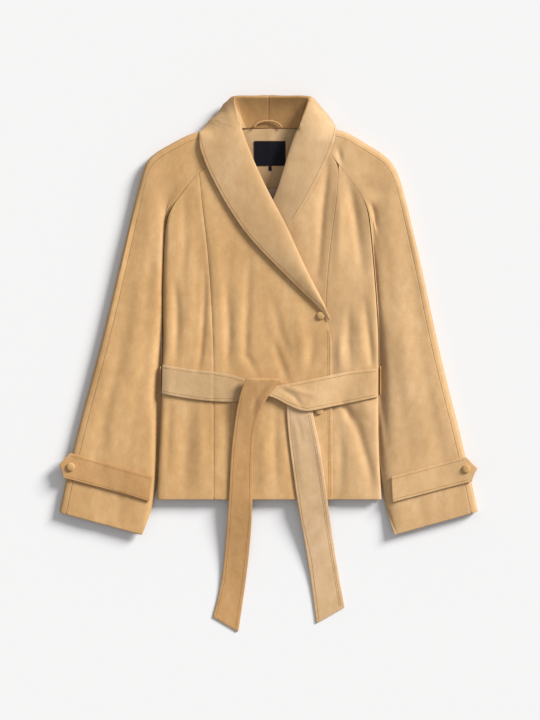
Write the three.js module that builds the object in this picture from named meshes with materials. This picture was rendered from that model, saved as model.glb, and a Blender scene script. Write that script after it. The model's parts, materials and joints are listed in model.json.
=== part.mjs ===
// A short suede wrap trench coat, laid flat on its back: millimetres, +X to the wearer's left,
// +Y to the collar, +Z up from the surface it lies on. Pieces are named by the wearer's side.
import * as THREE from 'three';

// ---- Driving sizes ----
const SUEDE = 1.6; // one layer of suede with its backing
const DOUBLED = 2.4; // collar, belt and straps are two layers stitched together
const TRIM = 0.8; // label and tab
const SEAM_GAP = 0.3; // space between neighbouring pieces at a seam
const HEM_Y = -255.6;
const CUFF_Y = -322.5; // the lowest corner of each cuff
const ARMPIT_Y = 91;
const NECK_SEAM_Y = 447.6;
const BUTTON_RADIUS = 7.8;
const FLOOR_LAYER = SUEDE / 2; // height of the middle of a layer that lies on the surface
const SLEEVE_TUCK = 4; // how far a sleeve's inner fold lies under the body's side
const SIDE_LIFT = 5.6; // rise of the back's sides over the tucked sleeves
const BELT_LIFT = 3.6; // rise of the back over the belt's back run
const NECK_LIFT = 3.7; // rise of the back's neck over the collar's fall
const UNDERLAP = 4.2; // how far the left front lies below the right front
const SEAM_FROM_FOLD = 13; // overarm seam, in from the sleeve's outer fold

// ---- Tables: named columns, one row for each section or fold ----
const table = (columns, rows) => {
  const names = columns.split(' ');
  return rows.map((row) => Object.fromEntries(names.map((name, i) => [name, row[i]])));
};

// Height of the middle of the upper front layer, down the body.
const PLATEAU = table('y z', [
  [HEM_Y, 15.4], [-150, 16], [-30, 17.2], [120, 18.2], [300, 19.5], [440, 20],
]);

// The line where each sleeve leaves the body: raglan seam, armhole and then the side of the body.
const ARMHOLE = {
  right: table('y x', [
    [CUFF_Y, -237.4], [HEM_Y, -212.1], [-158, -207.2], [-82, -203.4], [4, -200.5], [48, -199],
    [91, -200.4], [138, -200.4], [185, -199.4], [240, -197.2], [275, -193], [297, -184.5],
    [328, -160], [358, -136], [370, -119], [400, -96], [436, -80],
  ]),
  left: table('y x', [
    [CUFF_Y, 236.8], [HEM_Y, 214.4], [-158, 208.2], [-82, 208], [4, 208.2], [48, 208.1],
    [91, 206], [138, 202.7], [185, 199], [240, 194.4], [275, 190.6], [297, 186.6],
    [328, 172.5], [358, 149], [376, 134.5], [400, 116.2], [436, 84],
  ]),
};

// The bottom of the trough between body and sleeve; above the armhole it is a fold in the sleeve.
const GROOVE = {
  right: table('y x', [
    [HEM_Y, -212.1], [-158, -207.2], [-79, -203.4], [-16, -200.9], [48, -199], [91, -200.4],
    [145, -200.4], [199, -199], [252, -196.5], [305, -193.5], [358, -195], [392, -198],
  ]),
  left: table('y x', [
    [HEM_Y, 214.4], [-143, 207.8], [-50, 208.5], [48, 209], [104, 207], [171, 202.5],
    [224, 198.5], [262, 197], [305, 202], [358, 206.5], [392, 208.5],
  ]),
};
const GROOVE_TOP = { from: 350, to: 395 };
const GROOVE_FLANK = { right: { body: 8, sleeve: 16 }, left: { body: 6, sleeve: 22 } };

// Princess seams, down from the raglan seams.
const PRINCESS = {
  right: table('y x', [
    [HEM_Y, -103.8], [12, -103.8], [66, -105.7], [142, -109.5], [218, -115.2], [294, -124.7],
    [361.5, -131],
  ]),
  left: table('y x', [
    [HEM_Y, 103.8], [12, 103.8], [66, 105.7], [142, 109.5], [218, 115.2], [272, 122.5],
    [322, 129.5], [379, 132.5],
  ]),
};

// Front edges: up the overlap, then along the line where the front rolls back as the collar.
const FRONT_EDGE = {
  right: table('y x', [
    [HEM_Y, 122], [48, 120], [75, 117], [115, 97], [172, 64], [200, 48], [256, 24], [309, -5],
    [345, -23], [379, -38], [436, -58],
  ]),
  left: table('y x', [
    [HEM_Y, -95], [115, -95], [172, -75], [256, -33], [309, 8], [345, 28], [379, 38],
    [436, 60],
  ]),
};

// Folds of the fronts and sleeves: a line, its half width, and its height (troughs are negative).
const FOLDS = table('wide rise line', [
  [17, -3, [[-142, 300], [-138, 200], [-146, 100], [-148, -10]]],
  [18, -2.5, [[-70, 230], [-74, 100], [-60, -20]]],
  [20, -2.5, [[-30, 160], [-6, 60], [10, -30]]],
  [16, -3, [[110, 372], [102, 305], [92, 199], [98, 130]]],
  [16, -2.5, [[157, 332], [168, 275], [178, 180]]],
  [17, 2.5, [[128, 60], [136, 20], [146, -20]]],
  [17, -2.5, [[145, -75], [168, -130], [192, -200]]],
  [18, -2, [[-150, -80], [-165, -160], [-160, -250]]],
  [26, -2.5, [[-240, 330], [-262, 180], [-284, 40]]],
  [26, 2.5, [[-236, 120], [-262, -20], [-290, -150]]],
  [24, -2.5, [[-300, -40], [-318, -150], [-330, -270]]],
  [24, -2.5, [[244, 320], [262, 180], [280, 40]]],
  [26, 2.5, [[250, 60], [276, -60], [290, -160]]],
  [24, -2.5, [[300, -60], [318, -150], [330, -270]]],
]);

// Sleeves, from neck to cuff: the height of each row's inner end on the armhole line, its outer
// fold, and how high the upper layer lies there.
const SLEEVE_ROWS = {
  right: table('innerY outerX outerY high', [
    [436, -92, 443, 17], [400, -120, 442, 18], [370, -146, 439, 18.5], [358, -187, 417, 18.5],
    [328, -214, 402, 18], [297, -233, 385, 17.5], [275, -243, 347, 17], [240, -256.4, 296.6, 16.5],
    [185, -272, 230, 16.5], [138, -283, 184, 16.5], [ARMPIT_Y, -298.5, 117, 16.5],
    [4, -318.6, 35, 16], [-30, -327, 3.4, 16], [-64, -335.5, -28.3, 15.5], [-82, -340, -45, 15.5], [-158, -359.5, -117, 15],
    [HEM_Y, -382.8, -214, 14], [CUFF_Y, -396.2, -280.3, 13],
  ]),
  left: table('innerY outerX outerY high', [
    [436, 96, 446, 17], [400, 118, 446, 18], [376, 144, 443, 18.5], [358, 187, 416, 18.5],
    [328, 222, 396, 18], [297, 240, 374, 17.5], [275, 251, 344, 17], [240, 262, 302, 16.5],
    [185, 275, 246, 16.5], [138, 288, 192, 16.5], [ARMPIT_Y, 301, 130, 16.5],
    [4, 322, 31, 16], [-30, 330.7, -4.6, 16], [-64, 339.4, -40, 15.5], [-82, 344, -59, 15.5], [-158, 363.5, -133, 15],
    [HEM_Y, 385.6, -230, 14], [CUFF_Y, 396.2, -278.4, 13],
  ]),
};

// The lapels, up from the break: style edge and roll line.
const LAPEL = {
  right: table('styleX styleY rollX rollY', [
    [116.5, 77, 119.5, 79], [98.5, 105.5, 104.2, 115], [67.7, 133.4, 90, 143],
    [33.7, 167.4, 74.8, 172], [-13.6, 213.8, 53, 218], [-44.2, 248.3, 34, 262],
    [-72.5, 289.8, 8.3, 308.8], [-96.4, 331.2, -10, 345], [-113.9, 366.1, -25, 377],
    [-124.7, 392.4, -36, 405], [-132.3, 418.4, -46, 430], [-135.6, 439, -51, 447],
  ]),
  left: table('styleX styleY rollX rollY free', [
    [34.5, 253, 6, 307, 0], [71, 308.8, 19, 336, 0.6], [96, 355, 27, 364, 1],
    [112.8, 390.5, 35.5, 392, 1], [123, 418, 44, 418, 1], [131, 441, 52, 440, 1],
  ]),
};

// The collar round the neck, from the shoulder to the centre back: style edge, the outer fold,
// the roll and the neck seam. The first row is over the shoulder fold, the others fall behind.
const NECK = {
  right: table('styleX styleY styleZ edgeX edgeY edgeZ rollX rollY rollZ neckX neckY neckZ', [
    [-133, 444.5, 11, -114, 463, 20, -56, 461, 31, -57, 447, 14],
    [-122, 440, 1.4, -105.5, 473, 10, -62, 484, 30, -50, NECK_SEAM_Y, 9.5],
    [-92, 430, 1.4, -85, 493.5, 12, -67, 499, 29, -42, NECK_SEAM_Y, 8],
    [-74, 429, 1.4, -71, 505, 15, -66, 506, 27, -34, NECK_SEAM_Y, 7.4],
    [-45, 428, 1.4, -42, 507, 15, -40, 507, 25, -24, NECK_SEAM_Y, 7],
    [-SEAM_GAP / 2, 428, 1.4, -SEAM_GAP / 2, 507, 14, -SEAM_GAP / 2, 507, 23,
      -SEAM_GAP / 2, NECK_SEAM_Y, 6.8],
  ]),
  left: table('styleX styleY styleZ edgeX edgeY edgeZ rollX rollY rollZ neckX neckY neckZ', [
    [130.5, 455, 11, 114, 474, 20, 61, 460, 31, 62, 447, 14],
    [124, 440, 1.4, 107, 483, 10, 71, 484, 30, 54, NECK_SEAM_Y, 9.5],
    [100, 430, 1.4, 96, 494, 12, 77, 499, 29, 45, NECK_SEAM_Y, 8],
    [84, 429, 1.4, 82, 505, 15, 77, 506, 27, 37, NECK_SEAM_Y, 7.4],
    [45, 428, 1.4, 44, 507, 15, 42, 507, 25, 24, NECK_SEAM_Y, 7],
    [SEAM_GAP / 2, 428, 1.4, SEAM_GAP / 2, 507, 14, SEAM_GAP / 2, 507, 23,
      SEAM_GAP / 2, NECK_SEAM_Y, 6.8],
  ]),
};
const LAPEL_LIFT = { style: 4.6, middle: 8, roll: 10.6, edge: 8.4, under: 5.8, inset: 5 };

// The belt: edges of each run and end, with its height over the front (on the surface past the hem).
const BELT_FRONT = {
  right: table('upperX upperY lowerX lowerY lift', [
    [-200.6, 0, -201.9, -54.9, 2.4], [-190, -2, -191, -57, 4], [-175, -4.5, -176, -60, 3.4],
    [-149.8, -8.5, -147, -65, 3.2], [-102.7, -13.3, -100, -70, 3.2], [-67.9, -19.6, -66, -70.5, 3.2],
    [-40, -29, -42, -67, 3.4], [-18, -36, -20, -62, 3.4],
  ]),
  left: table('upperX upperY lowerX lowerY lift', [
    [206.6, -7, 207, -61.6, 2.4], [197, -8, 198, -63, 4], [178, -10, 180, -67, 3.4],
    [149.4, -13.3, 150, -73.5, 3.2], [120, -19.5, 118, -79.4, 5.6], [89.6, -25.8, 84, -87, 7.6],
    [62, -31, 62, -87.5, 7.4], [39.2, -36, 36, -76.4, 7.2], [14, -40, 10, -62, 7], [-6, -43, -8, -58, 6.8],
  ]),
};
const BELT_END = {
  right: table('leftX leftY rightX rightY lift', [
    [-32, -60, -3, -59, 10.4], [-40, -40, 14, -43, 11], [-41, -27, 20, -27.5, 13],
    [-42, -26, 23, -27, 16.4], [-46, -34, 17, -36, 16], [-55.4, -60.6, -1.8, -60.6, 13.6],
    [-63.2, -104.7, -21, -100, 6], [-68, -140, -28, -135, 3.6], [-71.2, -173.9, -30, -175, 3.4],
    [-74.2, -236.6, -30.5, -240, 3.4], [-76.4, -270, -30.7, -270, 3],
    [-82, -345, -36, -350, 0], [-90, -420, -46, -430, 0], [-105.7, -479.4, -57.7, -507.8, 0],
  ]),
  left: table('leftX leftY rightX rightY lift', [
    [33, -66, 80, -68, 3.3], [35, -100, 86, -105, 3.4], [38.5, -140, 95.9, -148, 3.6],
    [47, -205.6, 106, -215, 3.6], [55, -262, 113, -270, 3], [68, -335, 123, -340, 0],
    [80, -410, 134, -405, 0], [90.9, -491.5, 144.3, -461.1, 0],
  ]),
};

// Cuff straps, from the underarm seam to the pointed end; the last row is cut to a point.
const STRAP = {
  right: table('upperX upperY lowerX lowerY', [
    [-219.2, -211.9, -225.4, -259], [-262, -198, -270, -245], [-318, -182.5, -328, -230],
    [-373.6, -167.4, -386.4, -214.5],
  ]),
  left: table('upperX upperY lowerX lowerY', [
    [231.9, -211.9, 234.4, -260.3], [275, -200, 282, -248], [325, -186.5, 334, -234],
    [369.8, -174.6, 382.6, -221.4],
  ]),
};
const STRAP_AIR = 1.5;
const STRAP_POINT = { right: { x: -395.6, y: -186.5 }, left: { x: 395.4, y: -194 } };
const BUTTONS = {
  button_front_upper: { x: 98.6, y: 92.6 },
  button_front_lower: { x: 95.5, y: -87 },
  button_cuff_right: { x: -374, y: -193.4 },
  button_cuff_left: { x: 373.6, y: -197.2 },
};

// ---- Curves, heights and folds ----
const { clamp, lerp } = THREE.MathUtils;
const sideOf = { right: -1, left: 1 };

/** Smooth step from 0 at `from` to 1 at `to`. */
const step = (from, to, value) => {
  const t = clamp((value - from) / (to - from), 0, 1);
  return t * t * (3 - 2 * t);
};

/** Quarter round: 0 at the edge, 1 from `radius` inwards. */
const round = (distance, radius) => {
  const t = 1 - clamp(distance / radius, 0, 1);
  return Math.sqrt(1 - t * t);
};

/** A column of a table at height y, on straight lines between its rows. */
const atY = (rows, column, y) => {
  const rising = rows[0].y < rows[rows.length - 1].y ? rows : [...rows].reverse();
  const next = clamp(rising.findIndex((row) => row.y >= y), 1, rising.length - 1);
  const upper = y > rising[rising.length - 1].y ? rising.length - 1 : next;
  const [a, b] = [rising[upper - 1], rising[upper]];
  return lerp(a[column], b[column], clamp((y - a.y) / (b.y - a.y), 0, 1));
};

/** Distance from (x, y) to a line of points, and how far along it the nearest point is. */
const nearest = (line, x, y) => {
  let best = { distance: Infinity, along: 0 };
  for (let i = 0; i + 1 < line.length; i++) {
    const [[ax, ay], [bx, by]] = [line[i], line[i + 1]];
    const t = clamp(
      ((x - ax) * (bx - ax) + (y - ay) * (by - ay)) / ((bx - ax) ** 2 + (by - ay) ** 2), 0, 1);
    const distance = Math.hypot(x - lerp(ax, bx, t), y - lerp(ay, by, t));
    if (distance < best.distance) best = { distance, along: (i + t) / (line.length - 1) };
  }
  return best;
};

/** Sum of the soft ridges and troughs at (x, y); each fades to nothing at its two ends. */
const folds = (x, y) => FOLDS.reduce((sum, fold) => {
  const { distance, along } = nearest(fold.line, x, y);
  const fade = Math.sin(Math.PI * (0.12 + 0.76 * along));
  return sum + fold.rise * fade * Math.exp(-((distance / fold.wide) ** 2));
}, 0);

/** 1 where the belt passes round the body, 0 above and below it. */
const underBelt = (y) => step(-82, -66, y) * (1 - step(4, 20, y));

/** Height of the upper layer beside the groove, `apart` from its bottom, on one of its flanks. */
const besideGroove = (side, part, x, y, flat, apart) => {
  const beltStack = part === 'body' ? 3 * underBelt(y) : 0;
  const foot = lerp(part === 'sleeve' ? 3.4 : 8.6, 7, step(25, ARMPIT_Y, y)) + beltStack;
  const dip = 1 - step(GROOVE_TOP.from, GROOVE_TOP.to, y);
  return lerp(flat, foot + (flat - foot) * round(apart, GROOVE_FLANK[side][part]), dip);
};

/** How far a point lies outwards of the groove's bottom. */
const pastGroove = (side, x, y) => sideOf[side] * (x - atY(GROOVE[side], 'x', y));

/** Height of the middle of the upper layer of the body. */
const bodyHeight = (side, x, y) => {
  const flat = atY(PLATEAU, 'z', y) + folds(x, y);
  return besideGroove(side, 'body', x, y, flat, Math.max(0, -pastGroove(side, x, y)));
};

/** The side of the body that a point is on. */
const sideAt = (x) => (x < 0 ? 'right' : 'left');

/** Height of the right front, which lies on top. */
const rightFront = (x, y) => bodyHeight(sideAt(x), x, y);

/** Height of the left front: lower where the right front covers it. */
const leftFront = (x, y) => {
  const past = x - atY(FRONT_EDGE.right, 'x', y);
  return bodyHeight(sideAt(x), x, y) - lerp(UNDERLAP, 1, step(4, 34, past));
};

/** Rise of the back's neck and the sleeves' shoulders over the collar's fall. */
const neckLift = (x, y) => NECK_LIFT * step(396, 422, y) * (1 - step(140, 175, Math.abs(x)));

/** Height of the back: flat on the surface, over the belt, the tucked sleeves and the collar. */
const backHeight = (x, y) => {
  const side = sideAt(x);
  const fromEdge = sideOf[side] * (atY(ARMHOLE[side], 'x', y) - x);
  const sides = SIDE_LIFT * (1 - step(6, 40, fromEdge)) * (1 - step(25, ARMPIT_Y, y));
  const belt = BELT_LIFT * underBelt(y);
  return FLOOR_LAYER + sides + belt + neckLift(x, y);
};

// ---- Walls of cloth ----
const P = (x, y, z) => new THREE.Vector3(x, y, z);

/** A closed wall: rows of points on its middle surface, moved half its thickness each way. */
const wall = (points, thickness) => {
  const [rows, columns] = [points.length, points[0].length];
  const at = (i, j) => points[clamp(i, 0, rows - 1)][clamp(j, 0, columns - 1)];
  const positions = [];
  for (const half of [thickness / 2, -thickness / 2]) {
    for (let i = 0; i < rows; i++) {
      for (let j = 0; j < columns; j++) {
        const down = at(i + 1, j).clone().sub(at(i - 1, j));
        const across = at(i, j + 1).clone().sub(at(i, j - 1));
        const out = down.cross(across).normalize().multiplyScalar(half);
        positions.push(...at(i, j).clone().add(out).toArray());
      }
    }
  }
  const index = [];
  const back = rows * columns;
  const quad = (a, b, c, d) => index.push(a, b, c, a, c, d);
  const id = (i, j) => i * columns + j;
  for (let i = 0; i + 1 < rows; i++) {
    for (let j = 0; j + 1 < columns; j++) {
      const [a, b, c, d] = [id(i, j), id(i + 1, j), id(i + 1, j + 1), id(i, j + 1)];
      quad(a, b, c, d);
      quad(back + d, back + c, back + b, back + a);
    }
  }
  for (let i = 0; i + 1 < rows; i++) {
    const [a, b] = [id(i, 0), id(i + 1, 0)];
    const [c, d] = [id(i, columns - 1), id(i + 1, columns - 1)];
    quad(a, back + a, back + b, b);
    quad(d, back + d, back + c, c);
  }
  for (let j = 0; j + 1 < columns; j++) {
    const [a, b] = [id(0, j), id(0, j + 1)];
    const [c, d] = [id(rows - 1, j), id(rows - 1, j + 1)];
    quad(b, back + b, back + a, a);
    quad(c, back + c, back + d, d);
  }
  const geometry = new THREE.BufferGeometry();
  geometry.setAttribute('position', new THREE.Float32BufferAttribute(positions, 3));
  geometry.setIndex(index);
  geometry.computeVertexNormals();
  return geometry;
};

/** Numbers from 0 to 1 in equal steps. */
const steps = (count) => Array.from({ length: count + 1 }, (_, i) => i / count);

/** Numbers from 0 to 1, crowded at the ends named: 'both', 'start', 'end' or 'none'. */
const spread = (count, crowd) => steps(count).map((t) => {
  if (crowd === 'both') return (1 - Math.cos(Math.PI * t)) / 2;
  if (crowd === 'start') return 1 - Math.cos((Math.PI / 2) * t);
  if (crowd === 'end') return Math.sin((Math.PI / 2) * t);
  return t;
});

/** A panel of straight rows across, from a left edge to a right edge, at a given height. */
const panel = ({ ys, left, right, columns, crowd, height, thickness = SUEDE }) => {
  const shares = spread(columns, crowd);
  return wall([...ys].reverse().map((y) => {
    const [from, to] = [left(y) + SEAM_GAP / 2, right(y) - SEAM_GAP / 2];
    return shares.map((share) => {
      const x = lerp(from, to, share);
      return P(x, y, height(x, y));
    });
  }), thickness);
};

/** Points at the given shares of a smooth curve through some points. */
const through = (points, shares) => {
  const curve = new THREE.CatmullRomCurve3(points, false, 'centripetal');
  return shares.map((share) => curve.getPoint(share));
};

/** A grid of doubled cloth that never dips below the surface the coat lies on. */
const aboveFloor = (grid) => {
  for (const point of grid.flat()) point.z = Math.max(point.z, DOUBLED / 2);
  return grid;
};

/** A grid made smooth both ways from a few sections of points, with rows at the given shares. */
const loft = (sections, rowShares, columnSteps) => {
  const columns = sections[0].map((_, j) => through(sections.map((section) => section[j]), rowShares));
  return rowShares.map((_, i) => through(columns.map((column) => column[i]), steps(columnSteps)));
};

// ---- Materials ----
const suede = () => new THREE.MeshStandardMaterial({ color: 0xcfa873, roughness: 0.95, metalness: 0 });
const labelCloth = () => new THREE.MeshStandardMaterial({ color: 0x1c1d26, roughness: 0.8, metalness: 0 });
const liningCloth = () => new THREE.MeshStandardMaterial({ color: 0xb79c86, roughness: 0.6, metalness: 0 });

const coat = new THREE.Group();
const add = (name, geometry, material = suede()) => {
  const mesh = new THREE.Mesh(geometry, material);
  mesh.name = name;
  coat.add(mesh);
};

// ---- Body ----
/** Half the seam's gap, and half the cloth where its wall stands upright in the groove. */
const wallInset = (y) => SEAM_GAP / 2 + (SUEDE / 2) * (1 - step(275, 328, y));
const bodySide = (side) => (y) => (
  atY(ARMHOLE[side], 'x', y) - sideOf[side] * (wallInset(y) - SEAM_GAP / 2));

const BODY_YS = [
  HEM_Y, -200, -158, -118, -82, -64, -30, 4, 25, 48, ARMPIT_Y, 138, 185, 240, 275, 297, 328, 358,
];
const upTo = (top, extra) => [...BODY_YS.filter((y) => y < top - 1), ...extra];

/** The back raglan seam: straight from the armpit to the neck. */
const backRaglan = (side, y) => {
  const share = clamp((y - ARMPIT_Y) / (446 - ARMPIT_Y), 0, 1);
  return lerp(atY(ARMHOLE[side], 'x', ARMPIT_Y), sideOf[side] * 72, share);
};
const backEdge = (side) => (y) => (y > ARMPIT_Y ? backRaglan(side, y) : atY(ARMHOLE[side], 'x', y));

add('back', panel({
  ys: [HEM_Y, -158, -82, -64, -30, 4, 25, 48, ARMPIT_Y, 185, 300, 396, 410, 424, 446],
  left: backEdge('right'),
  right: backEdge('left'),
  columns: 10,
  crowd: 'both',
  height: backHeight,
}));

add('front_right_side', panel({
  ys: upTo(358, [358, 360.6]),
  left: bodySide('right'),
  right: (y) => atY(PRINCESS.right, 'x', y),
  columns: 8,
  crowd: 'start',
  height: rightFront,
}));

add('front_right_centre', panel({
  ys: [...BODY_YS, 361.5, 370, 400, 436],
  left: (y) => (y > 361.5 ? atY(ARMHOLE.right, 'x', y) : atY(PRINCESS.right, 'x', y)),
  right: (y) => atY(FRONT_EDGE.right, 'x', y),
  columns: 10,
  crowd: 'none',
  height: rightFront,
}));

add('front_left_side', panel({
  ys: [...BODY_YS, 376],
  left: (y) => atY(PRINCESS.left, 'x', y),
  right: bodySide('left'),
  columns: 8,
  crowd: 'end',
  height: leftFront,
}));

add('front_left_centre', panel({
  ys: [...BODY_YS, 376, 400, 436],
  left: (y) => atY(FRONT_EDGE.left, 'x', y),
  right: (y) => (y > 377 ? atY(ARMHOLE.left, 'x', y) : atY(PRINCESS.left, 'x', y)),
  columns: 9,
  crowd: 'none',
  height: leftFront,
}));

// ---- Sleeves ----
/** How far a sleeve's inner edge is tucked under the side of the body. */
const tucked = (y) => SLEEVE_TUCK * (1 - step(-40, 20, y)) * step(HEM_Y, -190, y);

/** One sleeve row: its inner edge, its outer fold and how high it lies. */
const sleeveRow = (side, row) => {
  const clear = wallInset(row.innerY) + 1.2 * (1 - step(48, ARMPIT_Y, row.innerY));
  const innerX = atY(ARMHOLE[side], 'x', row.innerY) + sideOf[side] * (clear - tucked(row.innerY));
  const inner = P(innerX, row.innerY, 0);
  const outer = P(row.outerX, row.outerY, 0);
  return { inner, outer, width: inner.distanceTo(outer), high: row.high };
};

/** Height of a sleeve's upper layer at (x, y), `fromOuter` in from its outer fold. */
const sleeveHeight = (side, x, y, high, fromOuter) => {
  const past = pastGroove(side, x, y);
  const room = 3 + 5 * step(-100, -82, y) * (1 - step(4, 40, y));
  const under = y < 48 ? Math.max(0, past - room) : Math.abs(past);
  const part = past > 0 || y < 48 ? 'sleeve' : 'body';
  const top = besideGroove(side, part, x, y, high + folds(x, y), under);
  const floor = FLOOR_LAYER + neckLift(x, y);
  return lerp((high + floor) / 2, top, round(fromOuter, (high - floor) / 2));
};

const FRONT_SHARES = [0, 0.03, 0.08, 0.16, 0.3, 0.5, 0.75, 1];
const sleeveFront = (side) => wall(SLEEVE_ROWS[side].map((row) => {
  const { inner, outer, width, high } = sleeveRow(side, row);
  const seam = 1 - (Math.min(SEAM_FROM_FOLD, width / 2) + SEAM_GAP / 2) / width;
  const points = FRONT_SHARES.map((share) => {
    const point = inner.clone().lerp(outer, share * seam);
    const fromOuter = width * (1 - share * seam);
    return P(point.x, point.y, sleeveHeight(side, point.x, point.y, high, fromOuter));
  });
  return side === 'right' ? points.reverse() : points;
}), SUEDE);

/** Each row of a sleeve's back: from the overarm seam round the outer fold, then flat below. */
const sleeveBack = (side) => wall(SLEEVE_ROWS[side].map((row) => {
  const { inner, outer, width, high } = sleeveRow(side, row);
  const seam = Math.min(SEAM_FROM_FOLD, width / 2) - SEAM_GAP / 2;
  const across = outer.clone().sub(inner).divideScalar(width);
  const place = (fromOuter) => outer.clone().addScaledVector(across, -fromOuter);
  const top = place(seam);
  const points = [P(top.x, top.y, sleeveHeight(side, top.x, top.y, high, seam))];
  for (const angle of [60, 20, -20, -60, -90]) {
    const turn = THREE.MathUtils.degToRad(angle);
    const floor = FLOOR_LAYER + neckLift(outer.x, outer.y);
    const radius = (high - floor) / 2;
    const point = place(radius * (1 - Math.cos(turn)));
    points.push(P(point.x, point.y, floor + radius + radius * Math.sin(turn)));
  }
  const seamX = row.innerY > ARMPIT_Y
    ? backRaglan(side, row.innerY) + sideOf[side] * SEAM_GAP / 2 : inner.x;
  const end = P(seamX, row.innerY, 0);
  const flat = points[points.length - 1];
  for (const share of [0.4, 1]) {
    const point = flat.clone().lerp(end, share);
    points.push(P(point.x, point.y, FLOOR_LAYER + neckLift(point.x, point.y)));
  }
  return side === 'right' ? points : points.reverse();
}), SUEDE);

for (const side of ['right', 'left']) {
  add(`sleeve_${side}_front`, sleeveFront(side));
  add(`sleeve_${side}_back`, sleeveBack(side));
}

// ---- Collar ----
/** One section across a lapel, from its style edge to the roll and under it. */
const lapelSection = (row, height) => {
  const style = P(row.styleX, row.styleY, 0);
  const roll = P(row.rollX, row.rollY, 0);
  const width = style.distanceTo(roll);
  const grown = Math.min(1, width / 30);
  const free = row.free ?? 1;
  const place = (fromRoll, lift) => {
    const point = roll.clone().lerp(style, clamp(fromRoll / width, 0, 1));
    return P(point.x, point.y, height(point.x, point.y) + lerp(4.1, lift, free));
  };
  const { style: low, middle, roll: high, edge, under, inset } = LAPEL_LIFT;
  return [
    place(width, low),
    place(width * 0.66, lerp(low + 0.3, middle, grown)),
    place(width * 0.33, lerp(low + 0.5, high, grown)),
    place(Math.min(inset, width * 0.2) * grown, lerp(low + 0.6, high, grown)),
    place(0, lerp(low, edge, grown)),
    place(inset * grown, lerp(low - 0.4, under, grown)),
  ];
};

/** One section of the collar round the neck, from the style edge behind to the neck seam. */
const neckSection = (row) => {
  const style = P(row.styleX, row.styleY, row.styleZ);
  const edge = P(row.edgeX, row.edgeY, row.edgeZ);
  const roll = P(row.rollX, row.rollY, row.rollZ);
  const neck = P(row.neckX, row.neckY, row.neckZ);
  const under = edge.clone().lerp(style, 0.2);
  under.z = lerp(row.styleZ, row.edgeZ, 0.12);
  const stand = roll.clone().lerp(neck, 0.45);
  stand.z = lerp(row.rollZ, row.neckZ, 0.7);
  return [style, under, edge, roll, stand, neck];
};

for (const [side, height] of [['right', rightFront], ['left', leftFront]]) {
  const sections = [
    ...LAPEL[side].map((row) => lapelSection(row, height)),
    ...NECK[side].map(neckSection),
  ];
  // One row at each section, and one more between the sections round the neck.
  const rowShares = steps((sections.length - 1) * 2)
    .filter((_, i) => i % 2 === 0 || i > 2 * LAPEL[side].length);
  const grid = aboveFloor(loft(sections, rowShares, 8));
  add(`collar_${side}`, wall(side === 'right' ? grid : grid.map((row) => row.reverse()), DOUBLED));
}

// ---- Inside the neck: facing, lining, label, tab and hanger loop ----
const overBack = (layers) => (x, y) => backHeight(x, y) + layers;
add('back_facing', panel({
  ys: [335, 365, 396, 410, 424, 446.6],
  left: (y) => lerp(-30, -62, step(335, 447, y)),
  right: (y) => lerp(42, 66, step(335, 447, y)),
  columns: 6,
  crowd: 'none',
  height: overBack(SUEDE + SEAM_GAP),
}));
add('lining', panel({
  ys: [262, 298, 334.7],
  left: () => -34,
  right: () => 46,
  columns: 4,
  crowd: 'none',
  height: overBack(SUEDE + SEAM_GAP),
  thickness: 1,
}), liningCloth());
const overFacing = overBack(1.5 * SUEDE + 2 * SEAM_GAP + TRIM / 2);
add('label', panel({
  ys: [377, 396, 410, 423.7],
  left: () => -27.8,
  right: () => 32,
  columns: 3,
  crowd: 'none',
  height: overFacing,
  thickness: TRIM,
}), labelCloth());
add('size_tab', panel({
  ys: [367.5, 372, 376.5],
  left: () => 0,
  right: () => 6,
  columns: 1,
  crowd: 'none',
  height: overFacing,
  thickness: TRIM,
}), labelCloth());
const loopCurve = new THREE.CatmullRomCurve3([
  P(-28, 449, 12), P(-22, 456.5, 13), P(-8, 461, 13), P(6, 461, 13), P(19, 456.5, 13), P(25, 449, 12),
]);
const loopSection = new THREE.Shape(steps(6).slice(0, 6).map((t) => {
  const turn = 2 * Math.PI * t;
  return new THREE.Vector2(1.5 * Math.cos(turn), 2 * Math.sin(turn));
}));
add('hanger_loop', new THREE.ExtrudeGeometry(loopSection, {
  extrudePath: loopCurve, steps: 10, bevelEnabled: false,
}));

// ---- Belt ----
/** Height of whatever the belt lies on, by the front that is uppermost there. */
const uppermost = (x, y) => (x < atY(FRONT_EDGE.right, 'x', y) ? rightFront(x, y) : leftFront(x, y));

/** A strip of doubled suede across the front, from its upper edge to its lower edge. */
const frontRun = (side) => {
  const sections = BELT_FRONT[side].map((row) => steps(3).map((share) => {
    const x = lerp(row.upperX, row.lowerX, share);
    const y = lerp(row.upperY, row.lowerY, share);
    const limit = atY(ARMHOLE[side], 'x', y) - sideOf[side] * 3;
    const over = side === 'right' ? Math.max(x, limit) : Math.min(x, limit);
    return P(x, y, uppermost(over, y) + row.lift);
  }));
  const grid = loft(sections, steps(Math.round(sections.length * 1.5)), 3);
  return wall(side === 'right' ? grid.map((row) => row.reverse()) : grid, DOUBLED);
};
add('belt_run_right', frontRun('right'));
add('belt_run_left', frontRun('left'));

// Back run: down round each side of the body, then under the back.
const BELT_SIDE = table('out z', [[3.6, 12.6], [4.4, 9.4], [2.6, 6.4]]);
const beltSide = (side, x) => BELT_SIDE.map(({ out, z }) => ({ x: x + sideOf[side] * out, z }));
const beltStations = [
  ...beltSide('right', -201.2),
  ...[-196, -184, -170, -155, -130, 0, 130, 155, 170, 190, 203].map((x) => ({ x })),
  ...beltSide('left', 207.9).reverse(),
];
add('belt_back', wall(beltStations.map(({ x, z }) => steps(2).map((share) => {
  const y = lerp(-3, -58, share);
  const below = (SUEDE + DOUBLED) / 2 + 1;
  return P(x, y, z ?? backHeight(x, y) - below);
})), DOUBLED));

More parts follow.
